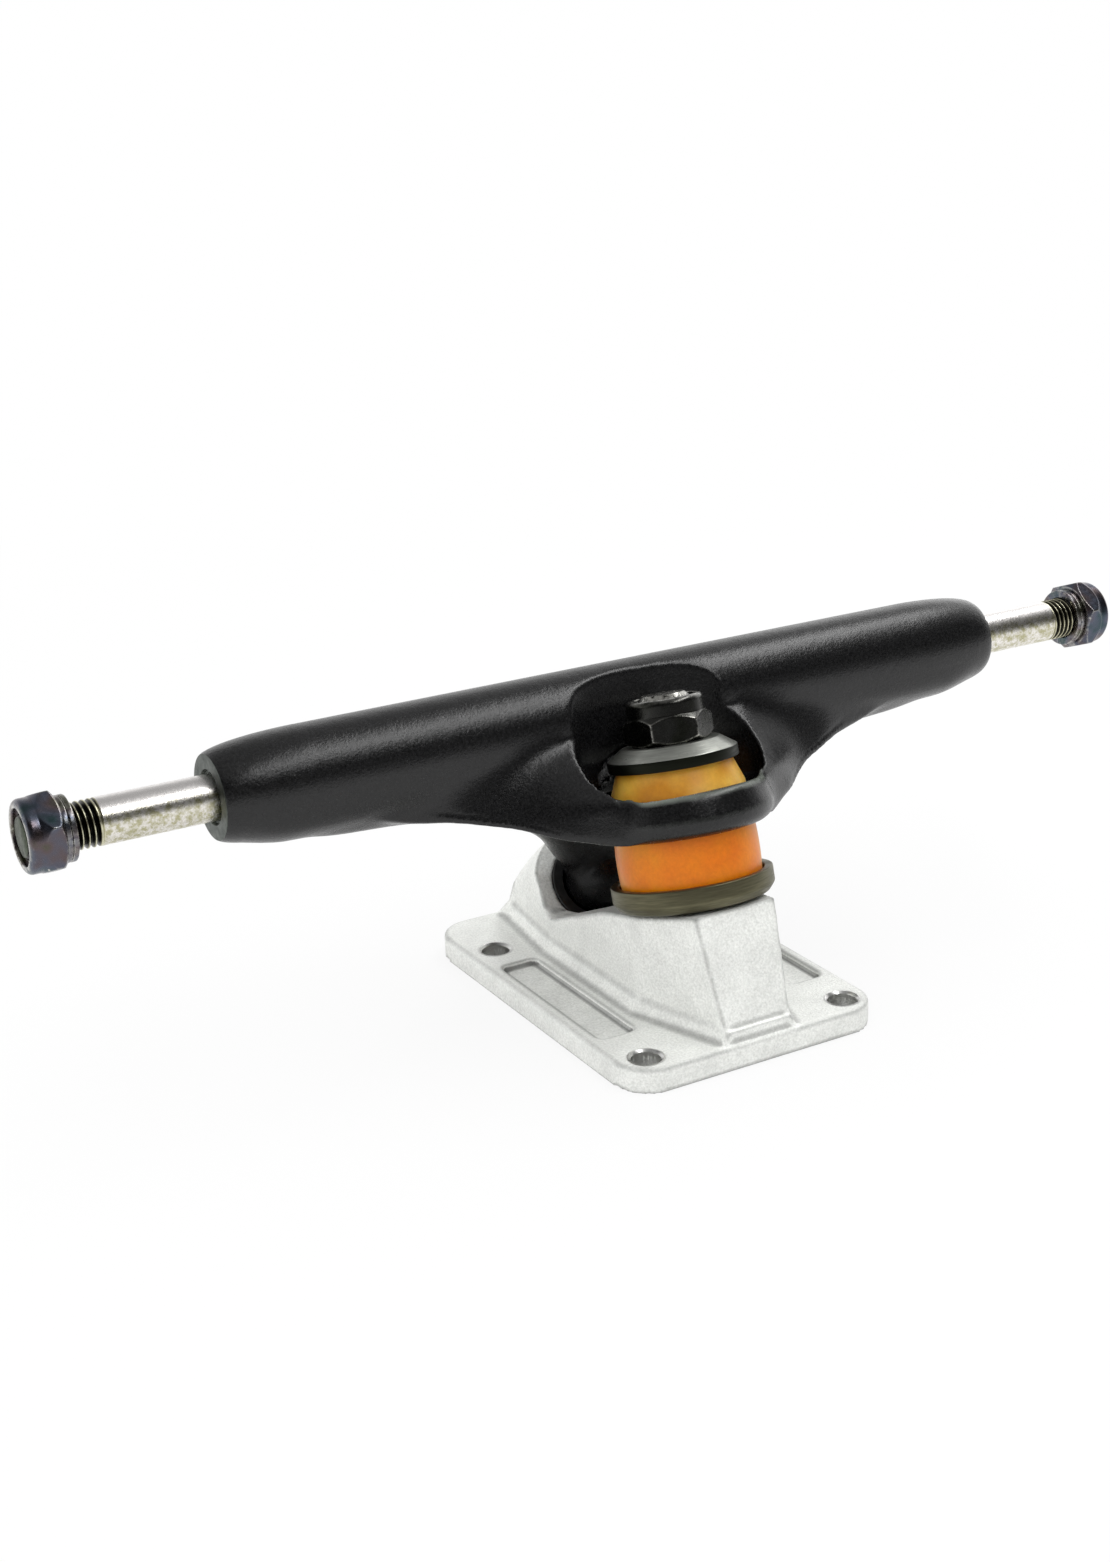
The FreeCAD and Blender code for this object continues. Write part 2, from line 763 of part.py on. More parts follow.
def bushing_room():
    """Room round the upper bushing and its washer, swung through the steering range."""
    skirt_end = upper_bushing_end - upper_washer_skirt
    room = placed(turned([
        (0, web_top),
        (ring_lip_radius, web_top),
        (ring_lip_radius, skirt_end),
        (upper_washer_radius + swing_gap, skirt_end),
        (upper_washer_radius + swing_gap, upper_washer_top - upper_washer_bevel + swing_gap),
        (upper_washer_flat_radius + swing_gap, upper_washer_top + swing_gap),
        (0, upper_washer_top + swing_gap),
    ]), kingpin_frame)
    hinge = mouth_point(0)
    axis = mouth_frame.Rotation.multVec(Z_AXIS)
    rooms = [room]
    for turn in range(1, swing_steps + 1):
        for side in (-1, 1):
            rooms.append(room.rotated(hinge, axis, side * steering_range * turn / swing_steps))
    return rooms


def ring_hollows():
    """Room over the lower bushing, and the bore round the kingpin."""
    rim_room = lower_bushing_radius + lower_bushing_belly + bushing_seat_clearance * 2
    lower = turned([
        (0, web_bottom),
        (lower_bushing_radius + bushing_seat_clearance, web_bottom),
        (rim_room, ring_bottom),
        (rim_room, seat_height),
        (0, seat_height),
    ])
    bore = cylinder(ring_bore_radius, web_bottom, web_top)
    return [placed(lower, kingpin_frame), placed(bore, kingpin_frame)]


def hanger():
    body = beam().multiFuse([web(), wing(-1), wing(1), yoke_ring(), pivot_nose()])
    for room in [nut_pocket()] + bushing_room() + ring_hollows():
        body = body.cut(room)
    relief_start = half_hanger - face_counterbore_depth
    for frame in (left_axle_frame, right_axle_frame):
        hole = cylinder(axle_grip_radius, 0, half_hanger + overrun)
        relief = cylinder(face_counterbore_radius, relief_start, half_hanger + overrun)
        body = body.cut(placed(hole, frame)).cut(placed(relief, frame))
    return body.removeSplitter()


pieces = {
    "baseplate": baseplate(),
    "pivot_cup": pivot_cup(),
    "kingpin": kingpin(),
    "lower_cup_washer": lower_cup_washer(),
    "lower_bushing": lower_bushing(),
    "upper_bushing": upper_bushing(),
    "upper_cup_washer": upper_cup_washer(),
    "kingpin_nut": kingpin_nut(),
    "kingpin_nut_insert": kingpin_nut_insert(),
    "hanger": hanger(),
    "axle": axle(),
}
for side, frame, turn in (
    ("left", left_axle_frame, left_nut_turn),
    ("right", right_axle_frame, right_nut_turn),
):
    pieces["axle_nut_" + side] = axle_nut(frame, turn)
    pieces["axle_nut_insert_" + side] = axle_nut_insert(frame)
    pieces["speed_washer_outer_" + side] = speed_washer(0, frame)
    pieces["speed_washer_inner_" + side] = speed_washer(1, frame)

os.makedirs("parts", exist_ok=True)
for name, shape in pieces.items():
    shape.exportStep("parts/" + name + ".step")
    print(name, shape.isValid(), len(shape.Solids), round(shape.Volume))
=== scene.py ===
import math

import bpy
import numpy as np
from mathutils import Matrix, Vector


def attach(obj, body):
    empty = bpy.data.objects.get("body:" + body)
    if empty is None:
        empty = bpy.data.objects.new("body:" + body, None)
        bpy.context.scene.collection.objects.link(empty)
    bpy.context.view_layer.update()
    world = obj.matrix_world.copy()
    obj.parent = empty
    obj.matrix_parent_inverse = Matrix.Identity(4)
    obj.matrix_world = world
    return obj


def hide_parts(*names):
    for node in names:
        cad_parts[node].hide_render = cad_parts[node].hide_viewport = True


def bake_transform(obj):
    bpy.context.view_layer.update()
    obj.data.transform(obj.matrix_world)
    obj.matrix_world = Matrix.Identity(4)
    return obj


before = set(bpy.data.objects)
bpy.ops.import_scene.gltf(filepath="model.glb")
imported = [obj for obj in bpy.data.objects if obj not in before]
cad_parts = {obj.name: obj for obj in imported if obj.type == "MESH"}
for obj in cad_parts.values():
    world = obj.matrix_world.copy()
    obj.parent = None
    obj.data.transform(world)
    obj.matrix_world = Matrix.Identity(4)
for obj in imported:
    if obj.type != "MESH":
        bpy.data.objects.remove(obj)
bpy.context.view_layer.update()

# Lengths are named in millimetres and turned into metres where a mesh is made
MM = 0.001

# Axes of the truck
KINGPIN_LEAN = 15.0
KINGPIN_FOOT_Y = -17.3
AXLE_Y = 11.6
AXLE_Z = 52.4
PIVOT_Y = 24.9
PIVOT_Z = 14.3
STEERING_ANGLE = 38.0

# Heights along the kingpin, from the deck face
SEAT = 23.4
LOWER_BUSHING_START = 24.9
WEB_BOTTOM = 39.1
WEB_TOP = 42.1
UPPER_BUSHING_END = 50.9
UPPER_WASHER_TOP = 52.4

# Radii round the kingpin
BUSHING_BORE = 4.9625
LOWER_BUSHING_RADIUS = 12.3
LOWER_BUSHING_BELLY = 0.45
UPPER_BUSHING_RADIUS = 12.0
UPPER_BUSHING_WAIST = 10.35
UPPER_BUSHING_TOP = 10.1
LOWER_WASHER_RADIUS = 14.5
LOWER_WASHER_WALL = 1.5
UPPER_WASHER_RADIUS = 11.6

# Axle, with its thread and washers
AXLE_RADIUS = 3.97
HALF_AXLE = 111.125
AXLE_THREAD = 12.4
AXLE_CHAMFER = 0.7
THREAD_PITCH = 1.058
THREAD_DEPTH = 0.62
THREAD_RUNOUT = THREAD_PITCH * 0.8
AXLE_NUT_START = 105.4
SPEED_WASHER_RADIUS = 5.5
SPEED_WASHER_THICKNESS = 0.95
SPEED_WASHER_GAP = 0.03
BORE_CLEARANCE = 0.12

# Locknuts
KINGPIN_NUT = {"width": 14.0, "height": 7.9, "bore": 4.65, "start": 52.43, "shoulder": 1.1}
AXLE_NUT = {"width": 12.5, "height": 6.0, "bore": 3.86, "start": AXLE_NUT_START, "shoulder": 1.7}
KINGPIN_NUT_TURN = 38.0
LEFT_NUT_TURN = -7.0
RIGHT_NUT_TURN = 10.0

# Their form: hexagon as a share of the height, collar as a share of the flats, the rest in millimetres
NUT_HEXAGON_SHARE = 0.63
NUT_COLLAR_SHARE = 0.985
NUT_FOOT_CHAMFER = 0.25
NUT_FOOT_HEIGHT = 0.9
NUT_DOME = 1.0
NUT_LIP = 0.85
NUT_SHARPNESS = 14.0

# Hanger: its beam and the beam's turned ends
HALF_HANGER = 79.5
BEAM_RADIUS = 9.2
BEAM_END_RADIUS = 7.6
BEAM_TAPER = 17.5
FACE_CHAMFER = 0.6
COUNTERBORE_RADIUS = 5.1
COUNTERBORE_DEPTH = 0.7
BEAM_END_START = HALF_HANGER - BEAM_TAPER - 1.5
BEAM_END_RISE = 3
BEAM_END_SINK = 0.09
CASTING_INSET = 0.8
BELLY_SWELL = 0.7

# Zones of the hanger that get fillets of their own: spans of radius, of height, or along the beam
POCKET_HALF_WIDTH = 17.9
POCKET_RADIUS = 19.5
POCKET_FRONT = -5
POCKET_FLOOR = WEB_TOP - 0.4
BORE_ZONE = 13.5
BORE_ZONE_TOP = WEB_TOP + 6
LIP_RADII = (11.5, 16.5)
LIP_HEIGHTS = (WEB_TOP - 1.5, WEB_TOP + 7)
NOSE_FADE = (1.0, 2.5)
UNDER_BEAM = (AXLE_Z - 5, AXLE_Z - 1)
ROOTS_START, ROOTS_END = (32, 40), (66, 72)
BELLY_START, BELLY_END = (20, 28), (68, 77)

# Baseplate: bolt holes, and the zones that stay crisp
HOLE_X = 20.6375
HOLE_Y = 26.9875
HOLE_ZONE = 3.6
UNDERSIDE = 0.6
SEAT_ZONE = 9.0
SOCKET_ZONE = 9.2
SOCKET_MOUTH = 0.3
PANEL_X = 20.0
PANEL_Y = 1.2
PANEL_HALF_WIDTH = 4.2
PANEL_HALF_LENGTH = 18.8
PANEL_TOP = 4.75
RIDGE_HALF_WIDTH = 14.5
RIDGE_BACK = -11
RIDGE_FOOT = 8

# Fineness of the meshes
HANGER_VOXEL = 0.42
BASEPLATE_VOXEL = 0.4
SOFT_ANGLE = 35.0
CRISP_ANGLE = 50.0


def frame_at(angle, axis, y, z):
    """Frame at (0, y, z), turned by an angle in degrees about one of the truck's axes."""
    return Matrix.Translation((0, y * MM, z * MM)) @ Matrix.Rotation(math.radians(angle), 4, axis)


# Frames whose Z runs up the kingpin, out along the axle's two ends, and out of the pivot cup's mouth
KINGPIN = frame_at(-KINGPIN_LEAN, "X", KINGPIN_FOOT_Y, 0)
AXLE_RIGHT = frame_at(90, "Y", AXLE_Y, AXLE_Z)
AXLE_LEFT = frame_at(-90, "Y", AXLE_Y, AXLE_Z)
MOUTH = frame_at(90 - STEERING_ANGLE, "X", PIVOT_Y, PIVOT_Z)


def detail(full):
    """The value for a full build."""
    return full


# Material helpers

def new_material(name, **values):
    """A Principled material with the given socket values, its node tree and its shader."""
    material = bpy.data.materials.new(name)
    material.use_nodes = True
    tree = material.node_tree
    shader = tree.nodes["Principled BSDF"]
    for key, value in values.items():
        shader.inputs[key.replace("_", " ")].default_value = value
    return material, tree, shader


def add(tree, kind, **values):
    """New node with the given attributes and socket values."""
    node = tree.nodes.new(kind)
    for key, value in values.items():
        if hasattr(node, key):
            setattr(node, key, value)
        else:
            node.inputs[key.replace("_", " ")].default_value = value
    return node


def feed(tree, socket, value):
    """Links another node's output to a socket, or sets the socket to a plain value."""
    if isinstance(value, bpy.types.NodeSocket):
        tree.links.new(value, socket)
    else:
        socket.default_value = value


def coordinates(tree, scale=(1, 1, 1), frame_matrix=None):
    """Object coordinates, turned into a frame where one is given, and scaled."""
    source = add(tree, "ShaderNodeTexCoord").outputs["Object"]
    if frame_matrix is not None:
        inverse = frame_matrix.inverted()
        turn = add(tree, "ShaderNodeMapping", vector_type="POINT")
        turn.inputs["Location"].default_value = inverse.to_translation()
        turn.inputs["Rotation"].default_value = inverse.to_euler()
        feed(tree, turn.inputs["Vector"], source)
        source = turn.outputs["Vector"]
    stretch = add(tree, "ShaderNodeMapping", vector_type="POINT", Scale=scale)
    feed(tree, stretch.inputs["Vector"], source)
    return stretch.outputs["Vector"]


def axes(tree, vector):
    """The vector's X, Y and Z."""
    node = add(tree, "ShaderNodeSeparateXYZ")
    feed(tree, node.inputs["Vector"], vector)
    return node.outputs


def noise(tree, vector, scale, octaves=3.0, roughness=0.55):
    node = add(tree, "ShaderNodeTexNoise", Scale=scale, Detail=octaves, Roughness=roughness)
    feed(tree, node.inputs["Vector"], vector)
    return node.outputs["Fac"]


def ramp(tree, value, *stops):
    """Colour ramp from (place, colour or grey) stops."""
    node = add(tree, "ShaderNodeValToRGB")
    elements = node.color_ramp.elements
    while len(elements) < len(stops):
        elements.new(0.5)
    for element, (place, colour) in zip(elements, stops):
        element.position = place
        element.color = (colour, colour, colour, 1) if isinstance(colour, float) else (*colour, 1)
    feed(tree, node.inputs["Fac"], value)
    return node.outputs["Color"]


def remap(tree, value, low, high, start=0.0, end=1.0, course="LINEAR"):
    """The value between low and high as start to end, and held beyond them."""
    node = add(
        tree, "ShaderNodeMapRange",
        interpolation_type=course, From_Min=low, From_Max=high, To_Min=start, To_Max=end,
    )
    feed(tree, node.inputs["Value"], value)
    return node.outputs["Result"]


def mix(tree, factor, a, b, data_type="RGBA", blend_type="MIX"):
    """The first value where the factor is 0, and the second where it is 1."""
    node = add(tree, "ShaderNodeMix", data_type=data_type, blend_type=blend_type)
    for name, value in (("Factor", factor), ("A", a), ("B", b)):
        feed(tree, node.inputs[name], value)
    return node.outputs["Result"]


def multiply(tree, a, b):
    return mix(tree, 1.0, a, b, blend_type="MULTIPLY")


def arithmetic(tree, operation, *values, kind="ShaderNodeMath"):
    """The number that an operation on outputs or plain values gives."""
    node = add(tree, kind, operation=operation)
    for socket, value in zip(node.inputs, values):
        feed(tree, socket, value)
    return node.outputs["Value"]


def bump(tree, shader, height, strength, distance):
    """Adds a bump layer over those that the shader already has."""
    node = add(tree, "ShaderNodeBump", Strength=strength, Distance=distance)
    feed(tree, node.inputs["Height"], height)
    normal = shader.inputs["Normal"]
    if normal.is_linked:
        feed(tree, node.inputs["Normal"], normal.links[0].from_socket)
    feed(tree, normal, node.outputs["Normal"])


def pointiness(tree, low, high):
    """0 on flat and hollow places, 1 on outer edges."""
    return remap(tree, add(tree, "ShaderNodeNewGeometry").outputs["Pointiness"], low, high)


def crease(tree, low, high):
    """The castings' crease attribute between two values, in millimetres, as 0 to 1."""
    return remap(tree, add(tree, "ShaderNodeAttribute", attribute_name="crease").outputs["Fac"], low, high)


# Materials

def black_coat():
    """Satin black coating with a faint grain.

    It has a painted highlight along the front rim of the ring, and painted shade down in the pivot cup.
    """
    material, tree, shader = new_material("black_coat", Metallic=0.0, IOR=1.45)
    place = coordinates(tree)
    speckle = noise(tree, place, 2300.0, 3.0, 0.7)
    shade = ramp(tree, speckle, (0.35, (0.0015, 0.0015, 0.0017)), (0.65, (0.0085, 0.0085, 0.0088)))
    pin = axes(tree, coordinates(tree, frame_matrix=KINGPIN))
    # Painted highlight: a pale line on the outer edges of the ring's front rim, in a band of heights up the
    # kingpin
    front = remap(tree, pin["Y"], -0.005, -0.009)
    rim = ramp(tree, pin["Z"], (0.0405, 0.0), (0.0420, 0.24), (0.0465, 0.24), (0.048, 0.0))
    painted_rim_highlight = multiply(tree, multiply(tree, crease(tree, -0.009, -0.023), front), rim)
    feed(tree, shader.inputs["Base Color"], mix(tree, painted_rim_highlight, shade, (0.52, 0.58, 0.50, 1)))
    feed(tree, shader.inputs["Roughness"], ramp(tree, noise(tree, place, 2600.0), (0.3, 0.20), (0.7, 0.29)))
    # Painted shade: the coat's reflection is turned down low in the pivot cup, under the ring
    cup_shade_height = axes(tree, coordinates(tree, frame_matrix=MOUTH))["Z"]
    feed(tree, shader.inputs["Specular IOR Level"], ramp(tree, cup_shade_height, (0.003, 0.10), (0.014, 0.50)))
    bump(tree, shader, speckle, 0.34, 0.00016)
    bump(tree, shader, noise(tree, place, 420.0, 2.0), 0.10, 0.0006)
    return material


def cast_aluminium():
    """Pale bare casting with a fine grain and soft clouds, and painted shade in hollow lines and along outer
    edges.
    """
    material, tree, shader = new_material("cast_aluminium", Metallic=0.35)
    place = coordinates(tree)
    fine = noise(tree, place, 2400.0, 4.0, 0.7)
    shade = ramp(tree, fine, (0.30, (0.66, 0.67, 0.64)), (0.70, (0.93, 0.94, 0.91)))
    cloud = ramp(tree, noise(tree, place, 150.0, 4.0, 0.6), (0.30, 0.88), (0.62, 1.0))
    # Painted shade: darker in hollow creases and along outer edges, from the crease attribute
    lines = ramp(
        tree, crease(tree, -0.06, 0.06),
        (0.0, 0.40), (0.20, 0.66), (0.40, 1.0), (0.53, 1.0), (0.60, 0.62), (0.70, 0.36), (0.90, 0.16),
    )
    feed(tree, shader.inputs["Base Color"], multiply(tree, multiply(tree, shade, cloud), lines))
    feed(tree, shader.inputs["Roughness"], ramp(tree, noise(tree, place, 900.0), (0.3, 0.42), (0.7, 0.58)))
    bump(tree, shader, fine, 0.5, 0.00022)
    bump(tree, shader, noise(tree, place, 600.0, 3.0), 0.20, 0.0004)
    return material


def paint(tree, shader, marks, low, high, rough, smooth):
    """Lets one pattern of marks set the colour and the gloss."""
    feed(tree, shader.inputs["Base Color"], ramp(tree, marks, (0.3, low), (0.7, high)))
    feed(tree, shader.inputs["Roughness"], ramp(tree, marks, (0.3, rough), (0.7, smooth)))


def machined_metal(name, colour, roughness):
    """Bright metal with fine lines round its upright axis."""
    material, tree, shader = new_material(name, Metallic=1.0)
    lines = noise(tree, coordinates(tree, (1, 1, 60)), 150.0, 4.0, 0.7)
    paint(tree, shader, lines, tuple(c * 0.82 for c in colour), colour, roughness * 1.3, roughness * 0.8)
    bump(tree, shader, lines, 0.12, 0.00006)
    return material


def plated_washer(name, colour, roughness, frame_matrix):
    """Dark plated pressing with faint turning marks."""
    material, tree, shader = new_material(name, Metallic=0.9)
    marks = noise(tree, coordinates(tree, (1, 1, 18), frame_matrix), 260.0, 3.0)
    paint(tree, shader, marks, tuple(c * 0.65 for c in colour), colour, roughness * 1.2, roughness * 0.85)
    bump(tree, shader, marks, 0.15, 0.00012)
    return material


def brushed_face(name, low, high):
    """Bare faced-off metal with fine marks."""
    material, tree, shader = new_material(name, Metallic=1.0)
    marks = noise(tree, coordinates(tree), 900.0, 4.0, 0.7)
    paint(tree, shader, marks, low, high, 0.48, 0.34)
    bump(tree, shader, marks, 0.2, 0.0001)
    return material


def mottled_steel(name, colour, lower_colour, top, bottom):
    """Turned steel that is plain on top, and darker and mottled from a height downwards."""
    material, tree, shader = new_material(name, Metallic=1.0)
    place = coordinates(tree)
    lower = remap(tree, axes(tree, place)["Z"], top * MM, bottom * MM)
    blots = ramp(tree, noise(tree, place, 800.0, 4.0, 0.75), (0.42, 0.18), (0.60, 0.85))
    grain = noise(tree, place, 1800.0, 3.0, 0.7)
    plain_tone = ramp(tree, grain, (0.3, tuple(c * 0.85 for c in colour)), (0.7, colour))
    feed(tree, shader.inputs["Base Color"], mix(tree, multiply(tree, lower, blots), plain_tone, (*lower_colour, 1)))
    feed(tree, shader.inputs["Roughness"], ramp(tree, grain, (0.3, 0.34), (0.7, 0.24)))
    bump(tree, shader, grain, 0.25, 0.00010)
    return material


def thread_steel(name, root, crest):
    """The axle's threads: bright crests, and roots that are nearly black."""
    material, tree, shader = new_material(name, Metallic=1.0, Roughness=0.28)
    place = coordinates(tree)
    here = axes(tree, place)
    off_y = arithmetic(tree, "SUBTRACT", here["Y"], AXLE_Y * MM)
    off_z = arithmetic(tree, "SUBTRACT", here["Z"], AXLE_Z * MM)
    squares = [arithmetic(tree, "MULTIPLY", off, off) for off in (off_y, off_z)]
    radius = arithmetic(tree, "SQRT", arithmetic(tree, "ADD", *squares))
    shade = ramp(
        tree, remap(tree, radius, root * MM, crest * MM),
        (0.0, (0.012, 0.012, 0.010)), (0.80, (0.04, 0.038, 0.028)),
        (0.93, (0.50, 0.47, 0.30)), (1.0, (0.72, 0.70, 0.52)),
    )
    spots = ramp(tree, noise(tree, place, 700.0, 2.0), (0.3, 0.55), (0.6, 1.0))
    feed(tree, shader.inputs["Base Color"], multiply(tree, shade, spots))
    bump(tree, shader, noise(tree, place, 2000.0, 2.0), 0.1, 0.0001)
    return material


def blackened_steel(name, film_low, film_high, colours):
    """Blued steel whose thin oxide film drifts in colour, with rubbed pale edges."""
    material, tree, shader = new_material(name, Metallic=1.0, Thin_Film_IOR=1.8)
    place = coordinates(tree)
    cloud = noise(tree, place, 170.0, 2.0)
    tint = ramp(tree, cloud, *[(0.34 + 0.12 * i, colour) for i, colour in enumerate(colours)])
    scratches = ramp(tree, noise(tree, place, 900.0, 4.0, 0.7), (0.40, 0.0), (0.56, 1.0))
    rubbed = arithmetic(tree, "MULTIPLY", pointiness(tree, 0.51, 0.55), scratches)
    feed(tree, shader.inputs["Base Color"], mix(tree, rubbed, tint, (0.55, 0.54, 0.50, 1)))
    feed(tree, shader.inputs["Thin Film Thickness"], remap(tree, cloud, 0.0, 1.0, film_low, film_high))
    feed(tree, shader.inputs["Roughness"], ramp(tree, noise(tree, place, 1500.0), (0.3, 0.20), (0.7, 0.32)))
    bump(tree, shader, noise(tree, place, 1400.0, 2.0), 0.06, 0.00015)
    return material


def urethane(name, low, middle, high):
    """Cast urethane: light goes a little way in, and the colour drifts through it."""
    material, tree, shader = new_material(
        name, Roughness=0.36, Specular_IOR_Level=0.3,
        Subsurface_Weight=0.45, Subsurface_Scale=0.004, Subsurface_Radius=(1.0, 0.45, 0.12),
        Sheen_Weight=0.22, Sheen_Roughness=0.3, Sheen_Tint=(1.0, 0.92, 0.66, 1),
    )
    place = coordinates(tree)
    drift = ramp(tree, noise(tree, place, 75.0, 2.0), (0.32, low), (0.5, middle), (0.70, high))
    grain = ramp(tree, noise(tree, place, 1300.0, 3.0, 0.7), (0.3, 0.84), (0.7, 1.0))
    feed(tree, shader.inputs["Base Color"], multiply(tree, drift, grain))
    bump(tree, shader, noise(tree, place, 2200.0, 2.0), 0.14, 0.00014)
    return material


def moulded_black(name, roughness):
    """Black moulded rubber or nylon."""
    material, tree, shader = new_material(name, Roughness=roughness)
    place = coordinates(tree)
    shade = ramp(tree, noise(tree, place, 700.0), (0.3, (0.008, 0.008, 0.008)), (0.7, (0.018, 0.018, 0.018)))
    feed(tree, shader.inputs["Base Color"], shade)
    bump(tree, shader, noise(tree, place, 3000.0, 2.0), 0.15, 0.00015)
    return material


# Mesh helpers

def dress(piece, body, slot, *nodes):
    """Fixes a piece to its body and lets it stand for the nodes that it shows in full."""
    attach(piece, body)
    if nodes:
        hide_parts(*nodes)


def make_object(name, verts, faces, materials, slots=None, angle=SOFT_ANGLE):
    """New object with smooth faces and sharp edges where they meet at more than the angle."""
    mesh = bpy.data.meshes.new(name)
    mesh.from_pydata(np.asarray(verts).tolist(), [], faces)
    for material in materials:
        mesh.materials.append(material)
    if slots is not None:
        mesh.polygons.foreach_set("material_index", np.asarray(slots, dtype=np.int32))
    mesh.shade_smooth()
    mesh.set_sharp_from_angle(angle=math.radians(angle))
    piece = bpy.data.objects.new(name, mesh)
    bpy.context.scene.collection.objects.link(piece)
    return piece


def rounded(points, steps=5):
    """Outline with rounded corners, from (radius, height, corner radius) points."""
    outline = []
    for i, (r, h, corner) in enumerate(points):
        here = Vector((r, h))
        if corner <= 0 or i in (0, len(points) - 1):
            outline.append(here)
            continue
        before = Vector(points[i - 1][:2]) - here
        after = Vector(points[i + 1][:2]) - here
        half = before.angle(after) / 2
        reach = min(corner / math.tan(half), before.length * 0.49, after.length * 0.49)
        start = here + before.normalized() * reach
        end = here + after.normalized() * reach
        for step in range(steps + 1):
            t = step / steps
            outline.append(start * (1 - t) ** 2 + here * 2 * t * (1 - t) + end * t ** 2)
    return [(p.x, p.y) for p in outline]


def subdivided(points, parts):
    """The same outline with extra points along each of its lines."""
    result = []
    for a, b in zip(points, points[1:]):
        result.append(a)
        for i in range(1, parts):
            t = i / parts
            result.append((a[0] + (b[0] - a[0]) * t, a[1] + (b[1] - a[1]) * t, 0))
    return result + [points[-1]]


def round_angles(segments):
    return np.arange(segments) * 2 * math.pi / segments


def ring_stack(name, radii, heights, matrix, materials, bands=None, closed=False, angle=SOFT_ANGLE):
    """Skin over a stack of rings about the frame's Z axis.

    radii has a row for each ring and heights a value for each, in millimetres. bands gives the material
    of the strip above a ring, and a closed stack joins its last ring to its first.
    """
    count, segments = radii.shape
    angles = round_angles(segments)
    h = np.asarray(heights)[:, None] + 0 * radii
    verts = np.stack([radii * np.cos(angles), radii * np.sin(angles), h], axis=-1).reshape(-1, 3) * MM
    verts = verts @ np.array(matrix.to_3x3()).T + np.array(matrix.translation)
    faces, slots = [], []
    for i in range(count if closed else count - 1):
        low, high = i * segments, (i + 1) % count * segments
        for j in range(segments):
            k = (j + 1) % segments
            faces.append((low + j, low + k, high + k, high + j))
            slots.append(bands(i) if bands else 0)
    return make_object(name, verts, faces, materials, slots, angle)


def lathe(name, profile, matrix, materials, segments=128, bands=None):
    """Ring of revolution about the frame's Z axis from (radius, height) points in millimetres."""
    outline = np.array(profile)
    radii = np.repeat(outline[:, :1], segments, axis=1)
    return ring_stack(name, radii, outline[:, 1], matrix, materials, bands, closed=True)


def threaded_rod(name, matrix, materials, start, thread_start, end, radius, chamfer):
    """Rod with a helical thread on its far stretch and a chamfered tip.

    Its three materials are for the plain stretch, the thread and the tip.
    """
    segments, rows_for_a_pitch = 96, 14
    heights = np.linspace(
        thread_start, end, int(math.ceil((end - thread_start) / THREAD_PITCH * rows_for_a_pitch)) + 1
    )
    phase = (heights[:, None] / THREAD_PITCH - round_angles(segments)[None, :] / (2 * math.pi)) % 1.0
    shape = np.clip((np.abs(phase * 2 - 1) - 0.12) / 0.76, 0, 1)
    fade = np.clip((heights - thread_start) / THREAD_RUNOUT, 0, 1)[:, None]
    threads = radius - THREAD_DEPTH * (1 - shape) * fade
    threads = np.minimum(threads, np.clip((end - heights)[:, None] + radius - chamfer, 0, radius))
    cap = np.full((1, segments), 0.01)
    radii = np.vstack([cap, np.full((2, segments), radius), threads, cap])
    heights = np.concatenate([[start, start, thread_start - 0.05], heights, [end]])
    last = len(heights) - 2
    return ring_stack(
        name, radii, heights, matrix, materials,
        lambda i: 0 if i < 3 else 1 if i < last else 2, angle=CRISP_ANGLE,
    )


def smooth_least(values, sharpness):
    """Least of several surfaces, with the creases between them slightly rounded."""
    stack = np.stack(np.broadcast_arrays(*values))
    return -np.log(np.exp(-stack * sharpness).sum(axis=0)) / sharpness


def nut_surface(name, matrix, materials, turn, width, height, bore, start, shoulder):
    """Hexagon locknut: a chamfered hexagon that runs up into a round collar over its nylon ring."""
    segments = 288
    flat = width / 2
    corner = width / math.sqrt(3)
    collar = flat * NUT_COLLAR_SHARE
    rows = np.linspace(0, height - 0.02, 64)
    h = rows[:, None]
    planes = []
    for side in range(6):
        facing = np.cos(round_angles(segments) - math.radians(turn + 30 + side * 60))[None, :]
        planes.append(np.where(facing > 0.3, flat / np.maximum(facing, 0.3), flat * 3))
    foot = flat - NUT_FOOT_CHAMFER + (corner - flat + NUT_FOOT_CHAMFER) * h / NUT_FOOT_HEIGHT
    slope = corner + (height * NUT_HEXAGON_SHARE - shoulder - h) * (corner - collar) / shoulder
    rise = np.clip((h - (height - NUT_DOME)) / NUT_DOME, 0, 1)
    dome = collar - NUT_DOME + np.sqrt(1.0 - rise ** 2)
    roof = np.where(h > height - NUT_DOME, dome, np.maximum(slope, collar))
    outer = smooth_least([*planes, foot, roof], NUT_SHARPNESS)
    lip = bore + NUT_LIP
    under = [(bore, 0.4), (bore + 0.4, 0.0), (flat - 0.5, 0.0)]
    inner = [
        (lip + 0.15, height), (lip, height - 0.15), (lip, height - 0.8), (bore, height - 0.85), (bore, 0.4),
    ]
    radii = np.stack(
        [np.full(segments, r) for r, _ in under] + list(outer) + [np.full(segments, r) for r, _ in inner]
    )
    heights = np.array([at for _, at in under] + list(rows) + [at for _, at in inner]) + start
    return ring_stack(name, radii, heights, matrix, materials, angle=CRISP_ANGLE)


